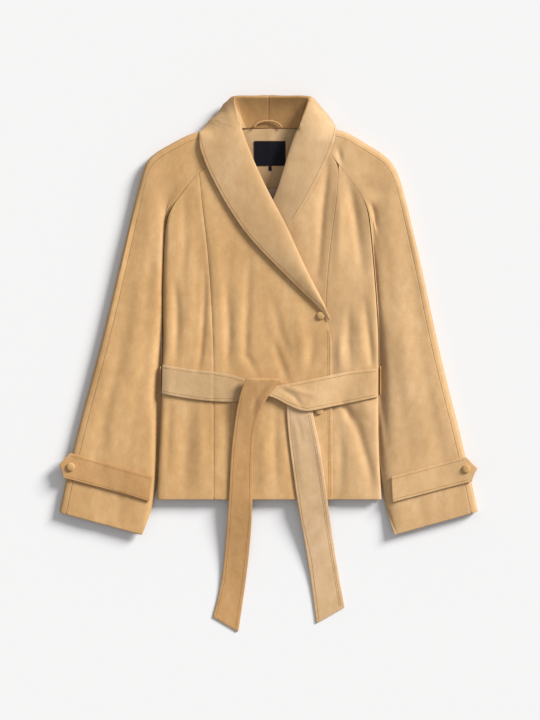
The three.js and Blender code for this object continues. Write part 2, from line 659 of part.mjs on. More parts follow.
/** Height of a belt end: over the front, then down past the hem to the surface. */
const endHeight = (x, y, lift) => {
  const onFront = uppermost(x, Math.max(y, HEM_Y)) + lift;
  return lerp(DOUBLED / 2, onFront, step(-440, HEM_Y + 14, y));
};
const beltEnd = (rows, perSection) => wall(aboveFloor(loft(rows.map((row) => steps(3).map((share) => {
  const x = lerp(row.leftX, row.rightX, share);
  const y = lerp(row.leftY, row.rightY, share);
  return P(x, y, endHeight(x, y, row.lift));
})), steps(Math.round((rows.length - 1) * perSection)), 3)), DOUBLED);
add('belt_end_right', beltEnd(BELT_END.right, 1.5));
add('belt_end_left', beltEnd(BELT_END.left, 2));
add('belt_knot', beltEnd(table('leftX leftY rightX rightY lift', [
  [12, -57, 30, -62, 2.7], [14, -40, 36, -46, 2.8], [13, -28, 39, -37, 3],
]), 1));

// ---- Cuff straps ----
/** Height of a sleeve's upper layer at a point, from the sleeve's own rows. */
const onSleeve = (side, x, y) => {
  const rows = SLEEVE_ROWS[side].slice(-5).map((row) => sleeveRow(side, row));
  const outer = rows.map((row) => [row.outer.x, row.outer.y]);
  const { distance, along } = nearest(outer, x, y);
  const at = along * (rows.length - 1);
  const i = clamp(Math.floor(at), 0, rows.length - 2);
  const high = lerp(rows[i].high, rows[i + 1].high, at - i);
  return sleeveHeight(side, x, y, high, Math.max(distance, 6.5));
};
const strap = (side) => {
  const point = STRAP_POINT[side];
  const sections = STRAP[side].flatMap((row, i, all) => {
    const next = all[i + 1];
    return next ? [row, Object.fromEntries(Object.keys(row).map(
      (key) => [key, (row[key] + next[key]) / 2]))] : [row];
  }).map((row) => steps(4).map((share) => P(
    lerp(row.upperX, row.lowerX, share), lerp(row.upperY, row.lowerY, share), 0)));
  const end = sections[sections.length - 1];
  const tip = end.map((corner, i) => P(
    lerp(corner.x, point.x, 1 - Math.abs(i - 2) / 2 * 0.86),
    lerp(corner.y, point.y, (1 - Math.abs(i - 2) / 2) * 0.35), 0));
  const grid = [...sections, tip].map((section) => section.map((corner) => {
    const z = onSleeve(side, corner.x, corner.y);
    return P(corner.x, corner.y, z + (SUEDE + DOUBLED) / 2 + STRAP_AIR);
  }));
  return wall(side === 'right' ? grid.map((row) => row.reverse()) : grid, DOUBLED);
};
add('strap_right', strap('right'));
add('strap_left', strap('left'));

// ---- Covered buttons ----
const buttonProfile = [[0, 0], [5.6, 0], [BUTTON_RADIUS, 0.9], [BUTTON_RADIUS, 1.8], [6.6, 3.1], [3.6, 3.8], [0, 4]]
  .map(([radius, z]) => new THREE.Vector2(radius, z));
const restsOn = {
  button_front_upper: (x, y) => rightFront(x, y) + SUEDE / 2,
  button_front_lower: (x, y) => rightFront(x, y) + SUEDE / 2,
  button_cuff_right: (x, y) => onSleeve('right', x, y) + SUEDE / 2 + STRAP_AIR + DOUBLED,
  button_cuff_left: (x, y) => onSleeve('left', x, y) + SUEDE / 2 + STRAP_AIR + DOUBLED,
};
for (const [name, { x, y }] of Object.entries(BUTTONS)) {
  const geometry = new THREE.LatheGeometry(buttonProfile, 10);
  geometry.rotateX(Math.PI / 2);
  geometry.translate(x, y, restsOn[name](x, y) + 0.35);
  add(name, geometry);
}

export default coat;
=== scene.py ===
import json
import math

import bmesh
import bpy
import numpy as np
from mathutils.bvhtree import BVHTree
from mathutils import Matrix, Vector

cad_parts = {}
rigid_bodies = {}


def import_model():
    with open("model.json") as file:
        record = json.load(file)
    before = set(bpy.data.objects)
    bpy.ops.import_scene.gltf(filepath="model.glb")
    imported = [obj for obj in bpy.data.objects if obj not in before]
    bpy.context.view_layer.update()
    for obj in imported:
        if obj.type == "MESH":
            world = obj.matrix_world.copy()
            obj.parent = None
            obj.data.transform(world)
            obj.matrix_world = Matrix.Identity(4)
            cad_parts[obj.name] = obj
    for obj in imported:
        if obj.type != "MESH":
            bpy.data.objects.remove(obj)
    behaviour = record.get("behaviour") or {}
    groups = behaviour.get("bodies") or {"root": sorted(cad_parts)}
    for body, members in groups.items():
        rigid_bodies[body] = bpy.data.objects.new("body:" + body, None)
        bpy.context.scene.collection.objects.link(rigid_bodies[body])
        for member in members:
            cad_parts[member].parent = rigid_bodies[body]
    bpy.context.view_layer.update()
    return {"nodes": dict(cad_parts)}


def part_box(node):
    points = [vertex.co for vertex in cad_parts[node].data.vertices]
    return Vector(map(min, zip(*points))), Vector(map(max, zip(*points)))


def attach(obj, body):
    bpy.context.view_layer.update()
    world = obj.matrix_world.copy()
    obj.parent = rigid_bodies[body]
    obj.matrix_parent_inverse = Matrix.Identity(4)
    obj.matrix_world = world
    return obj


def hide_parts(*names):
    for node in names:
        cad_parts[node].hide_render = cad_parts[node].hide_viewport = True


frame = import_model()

# The coat lies on its back: +X to the wearer's left, +Y to the collar, +Z up from the floor.
# Tables are in millimetres, meshes in metres, and each piece keeps the name of the wearer's side.
MM = 0.001
HEM_Y = -255.6
ALL_PIECES = bpy.context.scene.collection.objects


# ---- Suede ----
# Camel suede: the flesh side of a hide, buffed to a short nap. The nap lies this way and that, so
# the colour is mottled in soft clouds a few centimetres wide with finer flecks in them; the skin
# takes no gloss, only a faint sheen of nap where it turns away.

def linear(hex_colour):
    """An sRGB hex value turned to linear light, by the sRGB curve."""
    srgb = np.array([int(hex_colour[i:i + 2], 16) for i in (1, 3, 5)]) / 255
    low, high = srgb / 12.92, ((srgb + 0.055) / 1.055) ** 2.4
    return (*np.where(srgb <= 0.04045, low, high).tolist(), 1.0)


def add(tree, kind, sockets, **settings):
    """Add a node: sockets by name or number take a value or a link, settings are its properties."""
    node = tree.nodes.new(kind)
    for name, value in settings.items():
        setattr(node, name, value)
    for socket, value in sockets.items():
        if isinstance(value, bpy.types.NodeSocket):
            tree.links.new(value, node.inputs[socket])
        else:
            node.inputs[socket].default_value = value
    return node


RAMP_FROM, RAMP_TO = 0.34, 0.66  # the noise between which the tones are shared out
# Painted shade: between these heights of the normal, the suede's tone is darkened towards upright edges.
UPRIGHT, LEVEL = 0.35, 0.92  # the normal's height at an edge, and on the flat


def matt_material(name, tones, cloud_mm, fleck_mm, nap_mm, nap_depth_mm, roughness, sheen=0.0,
                  shaded_edge_share=1.0):
    """A matt cloth or hide: clouds and flecks of noise mix its tones, dark to light, a fine noise
    raises its nap or weave, and shaded_edge_share is the share of tone left where it stands
    upright, a painted shade on steep edges."""
    material = bpy.data.materials.new(name)
    material.use_nodes = True
    tree = material.node_tree
    tree.nodes.clear()
    where = add(tree, "ShaderNodeTexCoord", {})
    place = where.outputs["Object"]
    along = add(tree, "ShaderNodeMapping", {"Vector": place, "Scale": (1.0, 0.6, 1.0)}).outputs["Vector"]
    clouds = add(tree, "ShaderNodeTexNoise", {"Vector": along, "Scale": 1 / (cloud_mm * MM),
                                              "Detail": 2.0, "Roughness": 0.5}).outputs["Fac"]
    flecks = add(tree, "ShaderNodeTexNoise", {"Vector": along, "Scale": 1 / (fleck_mm * MM),
                                              "Detail": 4.0, "Roughness": 0.7}).outputs["Fac"]
    mixed = add(tree, "ShaderNodeMix", {0: 0.5, 2: clouds, 3: flecks}).outputs[0]
    ramp = add(tree, "ShaderNodeValToRGB", {"Fac": mixed})
    marks = ramp.color_ramp.elements
    marks[0].position, marks[0].color = RAMP_FROM, linear(tones[0])
    marks[1].position, marks[1].color = RAMP_TO, linear(tones[-1])
    for place_on_ramp, tone in zip(np.linspace(RAMP_FROM, RAMP_TO, len(tones))[1:-1], tones[1:-1]):
        marks.new(float(place_on_ramp)).color = linear(tone)
    nap = add(tree, "ShaderNodeTexNoise", {"Vector": place, "Scale": 1 / (nap_mm * MM), "Detail": 3.0})
    bump = add(tree, "ShaderNodeBump", {"Height": nap.outputs["Fac"], "Strength": 0.8,
                                        "Distance": nap_depth_mm * MM})
    # Painted shade: the tone is scaled down where the normal stands up, to shaded_edge_share at upright
    # edges, standing in for the shade there.
    height = add(tree, "ShaderNodeSeparateXYZ", {"Vector": where.outputs["Normal"]}).outputs["Z"]
    share = add(tree, "ShaderNodeMapRange", {"Value": height, "From Min": UPRIGHT, "From Max": LEVEL,
                                             "To Min": shaded_edge_share, "To Max": 1.0}).outputs["Result"]
    worn_and_painted_edge_shade = add(tree, "ShaderNodeVectorMath", {0: ramp.outputs["Color"], "Scale": share},
               operation="SCALE")
    shader = add(tree, "ShaderNodeBsdfPrincipled", {
        "Base Color": worn_and_painted_edge_shade.outputs["Vector"], "Roughness": roughness, "Specular IOR Level": 0.1,
        "Sheen Weight": sheen, "Sheen Roughness": 0.5, "Normal": bump.outputs["Normal"]})
    add(tree, "ShaderNodeOutputMaterial", {"Surface": shader.outputs["BSDF"]})
    return material


# The pale, palest and dark copies of the hide are painted light and shade for the way each piece's
# # nap lies to the light. Belt and lapel are greyer where hands have rubbed them. Steep edges of
# # every copy take painted shade, and the inside of the collar a darker copy as painted shade.
NAP_TONES = {
    "combed": ("#C69C69", "#CEA471", "#D6AC79", "#DEB684"),
    "pale": ("#CBA475", "#D3AC7D", "#DBB485", "#E3BE91"),
    "dark": ("#BC905E", "#C49866", "#CCA06E", "#D4A977"),
    "worn_and_painted_edge_shade": ("#C29F74", "#CAA77D", "#D1AF85", "#D9B890"),
    "palest": ("#CDAA7F", "#D5B288", "#DDBA92", "#E5C39E"),
    "stand_painted_shade": ("#AC8251", "#B48A59", "#BC9261", "#C49A69"),
}
suedes = {nap: matt_material("camel suede, nap " + nap, tones, cloud_mm=80, fleck_mm=14, nap_mm=2.2,
                             nap_depth_mm=0.25, roughness=0.95, sheen=0.15, shaded_edge_share=0.6)
          for nap, tones in NAP_TONES.items()}


# ---- Creases ----
# The hide is soft and lies slack on the padding of its own lower layers: long shallow folds fall
# from the shoulder and the armhole, shorter ones gather at the break and at the belt. Every layer
# over a place takes the same crease, so what lies on a front follows it.

CREASES = (
    # rise, half width, the line it follows
    (-3.4, 8, ((-176, 160), (-173, 90), (-176, -2))),  # right front, side
    (-2.6, 6, ((-119, 190), (-123, 90), (-128, 20), (-134, -12))),
    (2.2, 12, ((-146, 250), (-147, 129), (-152, 30))),
    (-1.6, 9, ((-160, 320), (-158, 230), (-165, 170))),
    (1.6, 12, ((-104, 250), (-92, 130), (-90, 30))),
    (-2.6, 8, ((-80, 150), (-75, 55), (-79, -12))),
    (-2.6, 8, ((-37, 200), (-42, 80), (-44, 20), (-22, -18))),
    (1.6, 12, ((-58, 180), (-60, 60), (-56, -10))),
    (-1.8, 9, ((6, 130), (22, 60), (44, 0))),
    (-2.4, 8, ((10, 44), (36, -32))),
    (1.6, 11, ((52, 120), (60, 50), (66, -8))),
    (-1.6, 8, ((84, 70), (82, 20), (76, -14))),
    (-3.2, 7, ((112, 384), (108, 340), (102, 289), (98, 235), (93, 165))),  # left front
    (-3.4, 9, ((154, 336), (161, 297), (167, 255), (178, 176))),
    (2.4, 10, ((134, 340), (134, 270), (131, 190))),
    (-2.2, 5, ((131, 412), (138, 378))),
    (-2.6, 8, ((152, 112), (151, 42), (155, -10))),
    (-3.0, 7, ((182, 120), (193, 25), (195, -4))),
    (2.2, 8, ((135, 60), (134, -14))),
    (1.6, 8, ((172, 90), (174, 10))),
    (2.4, 14, ((186, -64), (182, -104))),  # below the belt
    (-3.0, 7, ((140, -74), (148, -88), (156, -108))),
    (-3.0, 9, ((146, -76), (168, -120), (191, -200), (195, -240))),
    (-1.8, 9, ((136, -120), (139, -180), (134, -245))),
    (-2.4, 9, ((38, -90), (44, -150), (54, -250))),
    (-2.0, 9, ((-78, -74), (-80, -130), (-84, -200))),
    (-1.6, 12, ((-148, -70), (-156, -150), (-160, -240))),
    (1.6, 12, ((-128, -80), (-130, -230))),
    (-1.8, 8, ((-186, -66), (-190, -140), (-192, -200))),
    (1.6, 12, ((-10, -100), (-8, -240))),
    (-1.8, 8, ((14, -84), (12, -160), (16, -240))),
    (1.8, 9, ((75, -100), (98, -180), (108, -250))),
    (1.1, 12, ((-222, 366), (-226, 290), (-234, 200))),  # right sleeve
    (-1.4, 11, ((-246, 330), (-258, 250), (-276, 150), (-296, 60))),
    (-1.1, 10, ((-212, 250), (-226, 160), (-232, 90))),
    (1.3, 13, ((-238, 190), (-252, 70), (-264, -60))),
    (-1.7, 12, ((-226, 60), (-244, -40), (-262, -140), (-268, -196))),
    (-1.4, 12, ((-268, 100), (-290, 0), (-312, -110), (-330, -180))),
    (1.2, 12, ((-296, 20), (-322, -90), (-348, -180))),
    (-1.1, 10, ((-232, -90), (-240, -150), (-250, -200))),
    (1.2, 12, ((-286, -40), (-296, -120), (-302, -200))),
    (-1.0, 10, ((-280, -236), (-286, -310))),
    (1.0, 12, ((-330, -214), (-338, -300))),
    (0.7, 12, ((226, 372), (230, 290), (236, 200))),  # left sleeve
    (-0.8, 11, ((248, 320), (258, 250), (276, 150), (292, 70))),
    (-0.7, 9, ((218, 260), (226, 160), (230, 90))),
    (0.8, 13, ((246, 150), (256, 60), (266, -60))),
    (-1.0, 12, ((228, 50), (244, -40), (264, -140), (270, -190))),
    (-0.8, 12, ((272, 90), (294, 0), (314, -110), (330, -176))),
    (0.7, 12, ((300, 10), (324, -90), (346, -176))),
    (0.7, 12, ((286, -50), (296, -130), (304, -196))),
    (-0.6, 10, ((284, -236), (290, -312))),
    (0.6, 12, ((336, -220), (342, -300))),
    (1.0, 5, ((14, -30), (-12, -62), (-20, -90))),  # gathers at the knot
    (-1.2, 5, ((4, -30), (-24, -64), (-32, -96))),
    (-1.2, 5, ((22, -44), (50, -62), (64, -80))),
    (1.0, 5, ((28, -40), (62, -52), (90, -58))),
    (-0.9, 5, ((50, -92), (58, -120), (62, -150))),
    (-1.1, 3, ((-130.4, 358), (-124.7, 293.6), (-115.2, 217.6), (-109.5, 141.6), (-105.7, 65.6),
               (-103.8, 12.4), (-103.8, HEM_Y))),  # the princess seam draws the hide down
)


SLACK_SEED, SLACK_COUNT = 11, 110


def slack_dents():
    """Small uneven dents and swells all over the coat, mostly lengthwise, at places drawn once."""
    draw = np.random.default_rng(SLACK_SEED)
    x, y = draw.uniform(-390, 390, SLACK_COUNT), draw.uniform(-310, 440, SLACK_COUNT)
    lean = draw.normal(0, 0.35, SLACK_COUNT) + x / 900
    length, half_width = draw.uniform(50, 150, SLACK_COUNT), draw.uniform(8, 16, SLACK_COUNT)
    rise = draw.uniform(0.2, 0.55, SLACK_COUNT) * draw.choice((-1, 1), SLACK_COUNT)
    ends = np.stack([x + length * np.sin(lean), y - length * np.cos(lean)], 1)
    return [(rise[i], half_width[i], ((x[i], y[i]), tuple(ends[i]))) for i in range(SLACK_COUNT)]


def nearest_on(line, points):
    """Distance from each point to a line of straight runs, and the share of the way along it."""
    start, run = np.array(line[:-1])[:, None], np.diff(np.array(line), axis=0)[:, None]
    share = np.clip(((points - start) * run).sum(2) / (run ** 2).sum(2), 0, 1)
    apart = np.linalg.norm(points - start - share[..., None] * run, axis=2)
    which = apart.argmin(0)
    column = np.arange(len(points))
    return apart[which, column], (which + share[which, column]) / len(run)


END_STRENGTH = 0.08  # how far along half a sine wave each crease starts and stops
FLAT_BELOW, FREE_OVER = 3, 11  # no crease lower than this, full creases that much higher


def creased(points):
    """Points in metres with the creases added to their height: each crease is bell-shaped across
    its line and fades towards both ends, and all of them fade out towards the floor."""
    flat, height = points[:, :2] / MM, points[:, 2] / MM
    rise = np.zeros(len(points))
    for lift, half_width, line in (*CREASES, *slack_dents()):
        low, high = np.min(line, 0) - 3 * half_width, np.max(line, 0) + 3 * half_width
        near = np.flatnonzero(((flat > low) & (flat < high)).all(1))
        if len(near):
            apart, share = nearest_on(line, flat[near])
            along = np.sin(np.pi * (END_STRENGTH + (1 - 2 * END_STRENGTH) * share))
            rise[near] += lift * np.exp(-(apart / half_width) ** 2) * along
    free = np.clip((height - FLAT_BELOW) / FREE_OVER, 0, 1)
    return points + np.stack([0 * rise, 0 * rise, rise * MM * free ** 2 * (3 - 2 * free)], 1)


# ---- Panels ----
# Each panel is one thin layer cut to the pattern, sewn edge to edge with the next. Its wall starts
# from the panel's own solid, is rounded, then creased.

def points_of(mesh):
    """A mesh's points as an array."""
    points = np.empty(len(mesh.vertices) * 3)
    mesh.vertices.foreach_get("co", points)
    return points.reshape(-1, 3)


def cloth(node, material, level=3, shape=creased, edge_angle=1.0, edge_crease=0.85):
    """A copy of a solid with its points joined and its triangles paired, rounded by subdivision
    with its rims kept crisp, then moved by the given shape."""
    mesh = frame["nodes"][node].data.copy()
    grid = bmesh.new()
    grid.from_mesh(mesh)
    bmesh.ops.remove_doubles(grid, verts=grid.verts, dist=0.001 * MM)
    bmesh.ops.join_triangles(grid, faces=grid.faces, angle_face_threshold=0.6,
                             angle_shape_threshold=0.9)
    crease = grid.edges.layers.float.new("crease_edge")
    for edge in grid.edges:
        if edge.is_manifold and edge.calc_face_angle() > edge_angle:
            edge[crease] = edge_crease
    grid.to_mesh(mesh)
    grid.free()
    piece = bpy.data.objects.new("cloth_" + node, mesh)
    ALL_PIECES.link(piece)
    rounded = piece.modifiers.new("rounded", "SUBSURF")
    rounded.levels = rounded.render_levels = level
    piece.data = bpy.data.meshes.new_from_object(
        piece.evaluated_get(bpy.context.evaluated_depsgraph_get()))
    piece.modifiers.clear()
    piece.data.vertices.foreach_set("co", shape(points_of(piece.data)).ravel())
    piece.data.materials.clear()
    piece.data.materials.append(material)
    piece.data.shade_smooth()
    piece.data.update()
    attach(piece, "root")
    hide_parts(node)
    return piece


EASE = 0.7


def eased(piece, middle, radius, rounds):
    """Smooth a piece within a radius of a place: each round moves a point towards the mean of its
    neighbours, by EASE of the way in the inner half and less and less out to the rim."""
    mesh = piece.data
    points = points_of(mesh)
    ends = np.empty(len(mesh.edges) * 2, int)
    mesh.edges.foreach_get("vertices", ends)
    ends = ends.reshape(-1, 2)
    neighbours = np.bincount(ends.ravel(), minlength=len(points))[:, None]
    share = np.clip(1 - np.linalg.norm(points[:, :2] / MM - middle, axis=1) / radius, 0, 1)[:, None]
    for _ in range(rounds):
        total = np.zeros_like(points)
        np.add.at(total, ends[:, 0], points[ends[:, 1]])
        np.add.at(total, ends[:, 1], points[ends[:, 0]])
        points += np.minimum(1, 2 * share) * EASE * (total / neighbours - points)
    mesh.vertices.foreach_set("co", points.ravel())
    mesh.update()


PANELS = (
    # node, nap, cut width, length and area in metres, what it lies on, level of rounding
    ("back", "combed", 0.43, 0.71, 0.241, ("belt_back",), 2),
    ("front_right_side", "combed", 0.11, 0.62, 0.055, ("back",), 3),
    ("front_right_centre", "combed", 0.25, 0.70, 0.124, ("front_left_centre",), 3),
    ("front_left_side", "pale", 0.11, 0.64, 0.0566, ("back",), 3),
    ("front_left_centre", "pale", 0.24, 0.70, 0.117, ("back",), 3),
    ("sleeve_right_front", "combed", 0.18, 0.80, 0.081, ("sleeve_right_back",), 3),
    ("sleeve_right_back", "combed", 0.22, 0.80, 0.117, (), 3),
    ("sleeve_left_front", "pale", 0.18, 0.80, 0.0787, ("sleeve_left_back",), 3),
    ("sleeve_left_back", "pale", 0.22, 0.80, 0.1157, (), 3),
    ("collar_right", "pale", 0.13, 0.60, 0.0415, ("front_right_centre",), 3),
    ("collar_left", "worn_and_painted_edge_shade", 0.13, 0.44, 0.0314, ("front_left_centre",), 3),
    ("belt_run_right", "worn_and_painted_edge_shade", 0.054, 0.185, 0.0093, ("front_right_centre",), 3),
    ("belt_run_left", "pale", 0.054, 0.22, 0.0109, ("front_left_side",), 3),
    ("belt_back", "combed", 0.056, 0.43, 0.0232, (), 2),
    ("belt_end_right", "dark", 0.054, 0.56, 0.0237, ("front_right_centre",), 3),
    ("belt_end_left", "palest", 0.056, 0.44, 0.0225, ("front_right_centre",), 3),
    ("belt_knot", "dark", 0.03, 0.03, 0.0007, ("front_right_centre",), 3),
    ("strap_right", "dark", 0.05, 0.18, 0.00825, ("sleeve_right_front",), 3),
    ("strap_left", "pale", 0.05, 0.18, 0.0076, ("sleeve_left_front",), 3),
)
pieces = {}
for node, nap, width, length, area, under, level in PANELS:
    pieces[node] = cloth(node, suedes[nap], level)

LAPEL_TIP_Y, LAPEL_SETTLES_OVER, LAPEL_SETTLES_BY = 77, 40, 2.3  # the lapel lies down at the break
lapel = points_of(pieces["collar_right"].data)
near_break = np.clip((LAPEL_TIP_Y + LAPEL_SETTLES_OVER - lapel[:, 1] / MM) / LAPEL_SETTLES_OVER, 0, 1)
lapel[:, 2] -= LAPEL_SETTLES_BY * MM * near_break ** 2 * (3 - 2 * near_break)
pieces["collar_right"].data.vertices.foreach_set("co", lapel.ravel())

EASED = (
    # piece, middle and radius of the place where it has no hard folds, rounds of smoothing
    ("collar_right", (-116, 456), 46, 120),
    ("collar_left", (114, 466), 46, 120),
    ("collar_right", (119, 78), 22, 90),
)
for node, middle, radius, rounds in EASED:
    eased(pieces[node], middle, radius, rounds)

STAND = ((-41, 446), (56, 446), (84, 512), (-73, 512))  # the collar's stand, seen inside the neck
# Painted shade: faces of the collar inside the stand take the darker stand_painted_shade copy of the
# suede, for the shade inside the neck.
for node in ("collar_right", "collar_left"):
    mesh = pieces[node].data
    mesh.materials.append(suedes["stand_painted_shade"])
    middles = np.empty(len(mesh.polygons) * 3)
    mesh.polygons.foreach_get("center", middles)
    middles = middles.reshape(-1, 3)[:, :2] / MM
    inside = np.ones(len(middles), bool)
    for start, end in zip(STAND, STAND[1:] + STAND[:1]):
        run, reach = np.subtract(end, start), middles - start
        inside &= run[0] * reach[:, 1] - run[1] * reach[:, 0] > 0
    mesh.polygons.foreach_set("material_index", inside.astype(np.int32))

# The loop takes the dark copy of the suede, painted shade inside the neck.
pieces["hanger_loop"] = cloth("hanger_loop", suedes["dark"], 2)


# ---- Inside the neck ----
# A suede facing sewn along the neck seam, folded once down its middle; under it the slate-pink
# lining; on it a bare black satin label with a small tab below.

FACING_FOLD = ((3, 450), (2, 380), (4, 300))
FOLD_RISE, FOLD_HALF_WIDTH = 1.1, 9

label_satin = matt_material("label satin", ("#17181F", "#1C1D26"), cloud_mm=20, fleck_mm=5, nap_mm=0.8,
                            nap_depth_mm=0.05, roughness=0.55)
lining_satin = matt_material("lining satin", ("#B9A392", "#CBB8A8"), cloud_mm=30, fleck_mm=8,
                             nap_mm=0.8, nap_depth_mm=0.05, roughness=0.5)


def facing_folded(points):
    """Height raised in a bell along the fold down the middle of the facing."""
    apart, _ = nearest_on(FACING_FOLD, points[:, :2] / MM)
    rise = FOLD_RISE * np.exp(-(apart / FOLD_HALF_WIDTH) ** 2)
    return points + np.stack([0 * rise, 0 * rise, rise * MM], 1)


INSIDE = (
    # node, material, slot, cut width, cut length, cut area, what it lies on
    ("back_facing", suedes["worn_and_painted_edge_shade"], "suede", 0.13, 0.12, 0.0111, "back"),
    ("lining", lining_satin, "lining_cloth", 0.08, 0.073, 0.0058, "back"),
    ("label", label_satin, "label_cloth", 0.06, 0.047, 0.0028, "back_facing"),
    ("size_tab", label_satin, "label_cloth", 0.011, 0.011, 0.00006, "back_facing"),
)
for node, material, slot, width, length, area, under in INSIDE:
    pieces[node] = cloth(node, material, 3, shape=facing_folded)


# ---- Seam allowances ----
# Below each open seam the raw edges are turned in and glued down, so the seam has a floor of
# suede a little below its edges. At the centre back it joins the two halves of the collar.

ALLOWANCE_DEPTH, ALLOWANCE_REACH, ALLOWANCE_STEP = 0.9, 2.6, 4.0
ALLOWANCES = {
    # half width, the pieces it joins, the line of the seam
    "armhole_right": (2.0, ("front_right_side", "front_right_centre", "sleeve_right_front"), (
        (-84, 428), (-96, 400), (-119, 370), (-136, 358), (-160, 328), (-178, 305))),
    "armhole_left": (2.0, ("front_left_side", "front_left_centre", "sleeve_left_front"), (
        (90, 430), (116.2, 400), (134.5, 376), (149, 358), (172.5, 328), (182, 308))),
    "princess_left": (2.0, ("front_left_side", "front_left_centre"), (
        (134.6, 378), (132.5, 323), (128, 297), (124, 272))),
    "neck": (2.4, ("back_facing",), (
        (-56, 447), (-20, 447), (20, 447), (60, 447))),
    "centre_back": (1.8, ("collar_right", "collar_left"), (
        (0, 450), (0, 508))),
}


def even_steps(corners, pitch):
    """Points at equal steps along a line of straight runs."""
    corners = np.array(corners, float)
    reach = np.concatenate([[0], np.cumsum(np.linalg.norm(np.diff(corners, axis=0), axis=1))])
    at = np.arange(0, reach[-1], pitch)
    return np.stack([np.interp(at, reach, corners[:, axis]) for axis in (0, 1)], 1)


def seam_allowance(name, half_width, joined, corners):
    """A narrow strip along a seam, just above the lowest point of the edges beside it."""
    edges = np.concatenate([points_of(pieces[node].data) for node in joined]) / MM
    line = even_steps(corners, ALLOWANCE_STEP)
    low_corner, high_corner = line.min(0) - 2 * ALLOWANCE_REACH, line.max(0) + 2 * ALLOWANCE_REACH
    edges = edges[((edges[:, :2] > low_corner) & (edges[:, :2] < high_corner)).all(1)]
    apart = np.linalg.norm(edges[:, None, :2] - line, axis=2)
    low = np.where(apart < ALLOWANCE_REACH, edges[:, None, 2], np.inf).min(0) + ALLOWANCE_DEPTH
    met, steps = np.isfinite(low), np.arange(len(low))
    low = np.interp(steps, steps[met], low[met])  # where no edge is in reach, from the steps beside it
    run = np.gradient(line, axis=0)
    out = np.stack([-run[:, 1], run[:, 0]], 1) / np.linalg.norm(run, axis=1, keepdims=True)
    rims = [np.column_stack([line + way * half_width * out, low]) for way in (-1, 1)]
    count = len(line)
    here = np.arange(count - 1)
    mesh = bpy.data.meshes.new("allowance_" + name)
    mesh.from_pydata((np.concatenate(rims) * MM).tolist(), [],
                     np.stack([here, here + 1, here + 1 + count, here + count], 1).tolist())
    # The strip takes the dark copy of the suede, painted shade in the seam's groove.
    mesh.materials.append(suedes["dark"])
    mesh.shade_smooth()
    strip = bpy.data.objects.new("seam_allowance_" + name, mesh)
    ALL_PIECES.link(strip)
    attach(strip, "root")


for name, (half_width, joined, corners) in ALLOWANCES.items():
    seam_allowance(name, half_width, joined, corners)


# ---- Covered buttons ----
# A domed shell button wrapped in the same suede, so its rim is rounded and its face a little flat.

BUTTON_SIDES = 48
BUTTON_PROFILE = ((0.0, 0.0), (0.72, 0.0), (0.95, 0.12), (1.0, 0.32), (0.985, 0.5), (0.93, 0.68),
                  (0.84, 0.8), (0.78, 0.84), (0.7, 0.88), (0.45, 0.97), (0.2, 1.0), (0.0, 1.0))
button_suede = matt_material("camel suede, stretched", ("#C29A67", "#CBA471", "#D4AE7C"), cloud_mm=12,
                             fleck_mm=5, nap_mm=1.6, nap_depth_mm=0.15, roughness=0.95, sheen=0.1)


def covered_button(node):
    """Rings of points round the middle of the solid: radius and height by the profile's shares."""
    (x0, y0, z0), (x1, y1, z1) = np.array(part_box(node))
    radius, shares = (y1 - y0) / 2, np.array(BUTTON_PROFILE)
    turn = np.linspace(0, 2 * np.pi, BUTTON_SIDES, endpoint=False)
    ring = np.stack([np.cos(turn), np.sin(turn)], 1)
    middle = np.array([(x0 + x1) / 2, (y0 + y1) / 2])
    flat = middle + shares[1:-1, 0, None, None] * radius * ring
    height = np.broadcast_to((z0 + shares[1:-1, 1] * (z1 - z0))[:, None, None], flat.shape[:2] + (1,))
    points = np.concatenate([np.concatenate([flat, height], 2).reshape(-1, 3),
                             [(*middle, z0), (*middle, z1)]])
    rows = len(BUTTON_PROFILE) - 2
    here = np.arange(BUTTON_SIDES)
    after = (here + 1) % BUTTON_SIDES
    walls = [np.stack([row * BUTTON_SIDES + here, row * BUTTON_SIDES + after,
                       (row + 1) * BUTTON_SIDES + after, (row + 1) * BUTTON_SIDES + here], 1)
             for row in range(rows - 1)]
    foot, crown = rows * BUTTON_SIDES, rows * BUTTON_SIDES + 1
    top = (rows - 1) * BUTTON_SIDES
    caps = [(foot, int(b), int(a)) for a, b in zip(here, after)]
    caps += [(crown, top + int(a), top + int(b)) for a, b in zip(here, after)]
    mesh = bpy.data.meshes.new(node)
    mesh.from_pydata(creased(points).tolist(), [], np.concatenate(walls).tolist() + caps)
    mesh.materials.append(button_suede)
    mesh.shade_smooth()
    button = bpy.data.objects.new("covered_" + node, mesh)
    ALL_PIECES.link(button)
    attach(button, "root")
    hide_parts(node)


for node in ("button_front_upper", "button_front_lower", "button_cuff_right", "button_cuff_left"):
    covered_button(node)


# ---- Stitching ----
# Tone-on-tone topstitching about 3 mm long, 5 to 9 mm in from the edges of the collar, front,
# belt and straps. It pulls down into the nap, so each stitch lies half sunk.

STITCH_LENGTH, STITCH_PITCH, STITCH_RADIUS = 2.4, 3.1, 0.42
STITCH_SIDES, STITCH_CORNER = 6, 16  # facets of a stitch, and the length over which rows turn
STITCH_RINGS = ((-1.0, 0.3), (-0.7, 0.95), (0.7, 0.95), (1.0, 0.3))  # share of length, of radius

thread = matt_material("polyester thread, camel", ("#A47C4B", "#AE8653"), cloud_mm=8, fleck_mm=3,
                       nap_mm=0.6, nap_depth_mm=0.05, roughness=0.7)

